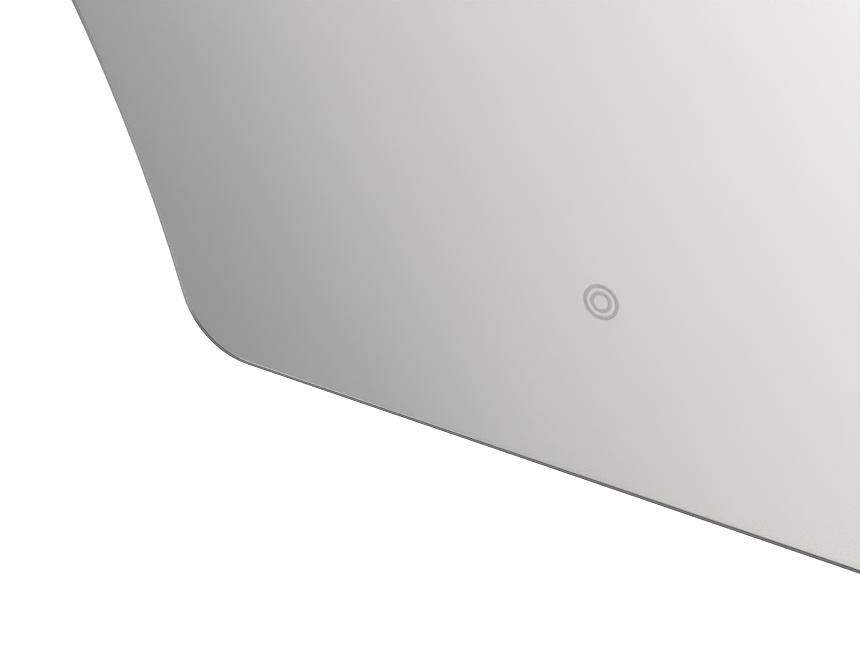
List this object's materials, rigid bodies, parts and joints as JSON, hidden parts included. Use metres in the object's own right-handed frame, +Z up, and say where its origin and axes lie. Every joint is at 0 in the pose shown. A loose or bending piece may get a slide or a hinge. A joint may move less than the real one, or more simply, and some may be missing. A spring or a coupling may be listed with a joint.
{
  "type": "lighted bathroom mirror",
  "caption": "Frameless shaped wall mirror with hollow flanks and a round head, a ring touch symbol and a hidden back-lit frame that hangs on a wall rail.",
  "frame": {"origin": "on the wall plane, in the middle of the line of the wall rail's two screw slots", "axes": "+Z up along the wall, +X to the viewer's right, +Y into the wall; the mirror faces -Y"},
  "size_m": [0.8, 0.038, 0.8312],
  "materials": {
    "float_glass": "polished float glass",
    "silvering": "silver layer with grey protective paint",
    "safety_film": "white woven safety film",
    "anodised_aluminium": "satin anodised extrusion",
    "zinc_plated_steel": "bright zinc plate",
    "rivet_aluminium": "blind rivets",
    "screw_steel": "zinc plated screws",
    "foam_tape": "closed-cell foam tape",
    "black_rubber": "moulded rubber",
    "opal_polycarbonate": "opal extrusion",
    "strip_circuit": "white flexible circuit",
    "led_package": "LED package with yellow phosphor",
    "white_abs": "moulded ABS, fine texture",
    "grey_nylon": "moulded nylon",
    "natural_nylon": "natural nylon",
    "black_abs": "moulded ABS",
    "circuit_board": "solder mask on glass-fibre board",
    "heating_foil": "clear polyester over an etched heating track",
    "lead_pvc": "white PVC sheath"
  },
  "bodies": {
    "wall_rail": {"wall_rail": "zinc_plated_steel"},
    "mirror": {"mirror_glass": "float_glass", "silver_backing": "silvering", "safety_film": "safety_film", "frame_profile": "anodised_aluminium", "frame_splice": "anodised_aluminium", "upper_cross_rail": "anodised_aluminium", "lower_cross_rail": "anodised_aluminium", "left_hook": "zinc_plated_steel", "right_hook": "zinc_plated_steel", "cross_rail_rivets": "rivet_aluminium", "hook_rivets": "rivet_aluminium", "splice_screws": "screw_steel", "lid_screws": "screw_steel", "gear_box_screws": "screw_steel", "block_screws": "screw_steel", "foam_tape": "foam_tape", "gear_box_tape": "foam_tape", "wall_bumpers": "black_rubber", "lid_gasket": "black_rubber", "gland_seal": "black_rubber", "frame_grommet": "black_rubber", "light_diffuser": "opal_polycarbonate", "touch_lens": "opal_polycarbonate", "led_strip": "strip_circuit", "led_packages": "led_package", "gear_box": "white_abs", "gear_box_lid": "white_abs", "led_driver": "white_abs", "gland_body": "grey_nylon", "gland_nut": "grey_nylon", "gland_locknut": "grey_nylon", "terminal_block": "natural_nylon", "lead_clips": "natural_nylon", "sensor_housing": "black_abs", "demister_terminal": "black_abs", "sensor_board": "circuit_board", "demister_pad": "heating_foil", "led_lead": "lead_pvc", "sensor_lead": "lead_pvc", "demister_lead": "lead_pvc"}
  },
  "joints": [
    {"name": "mirror_lift", "type": "slide", "parent": "wall_rail", "child": "mirror", "axis": [0, 0, 1], "range_m": [0, 0.016]}
  ]
}
